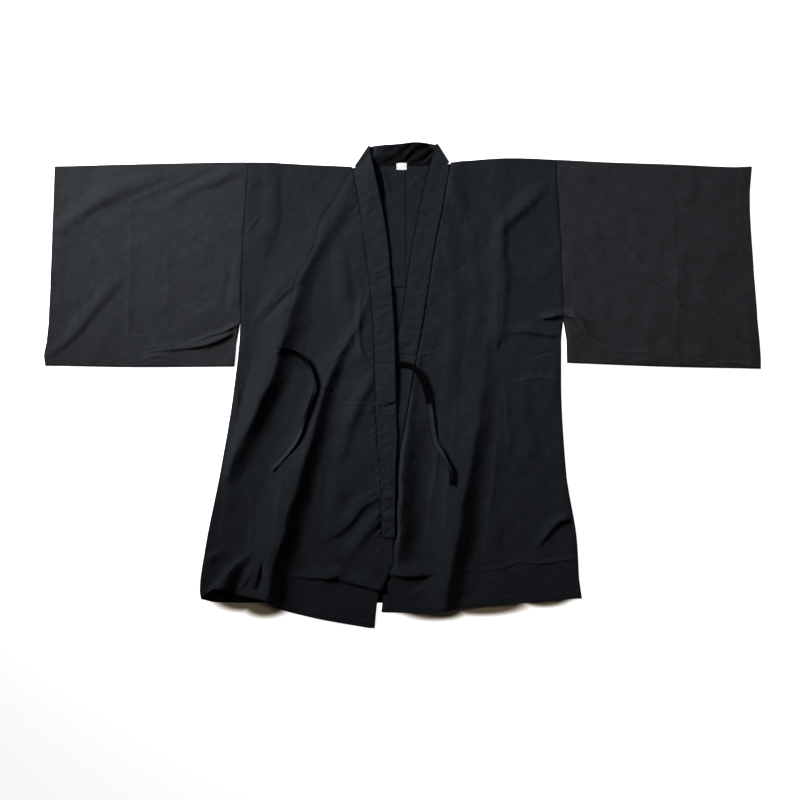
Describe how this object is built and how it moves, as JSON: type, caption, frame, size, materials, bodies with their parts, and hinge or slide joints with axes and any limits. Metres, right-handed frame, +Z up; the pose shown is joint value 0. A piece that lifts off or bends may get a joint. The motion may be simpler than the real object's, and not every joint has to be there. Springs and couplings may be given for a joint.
{
  "type": "iaido jacket",
  "caption": "Black cotton iaido jacket laid flat on its back, with wide sleeves, a folded neck band, crossed fronts with long soft folds, and tape ties.",
  "frame": {"origin": "middle of the laid jacket's footprint, on the floor that its back lies on", "axes": "+X towards the wearer's left cuff, +Y towards the collar, +Z up off the floor"},
  "size_m": [1.3675, 0.926, 0.0288],
  "materials": {
    "body_cotton": "matt plain weave",
    "sleeve_cotton": "matt plain weave",
    "band_cotton": "matt plain weave, doubled",
    "lining_cotton": "matt plain weave",
    "label": "smooth blank woven label",
    "tie_cotton": "matt folded tape"
  },
  "bodies": {
    "root": {"body_right": "body_cotton", "body_left": "body_cotton", "sleeve_right": "sleeve_cotton", "sleeve_left": "sleeve_cotton", "collar": "band_cotton", "band_right": "band_cotton", "band_left": "band_cotton", "lining_right": "lining_cotton", "lining_left": "lining_cotton", "neck_label": "label", "tie_right": "tie_cotton", "tie_left": "tie_cotton"}
  },
  "joints": []
}
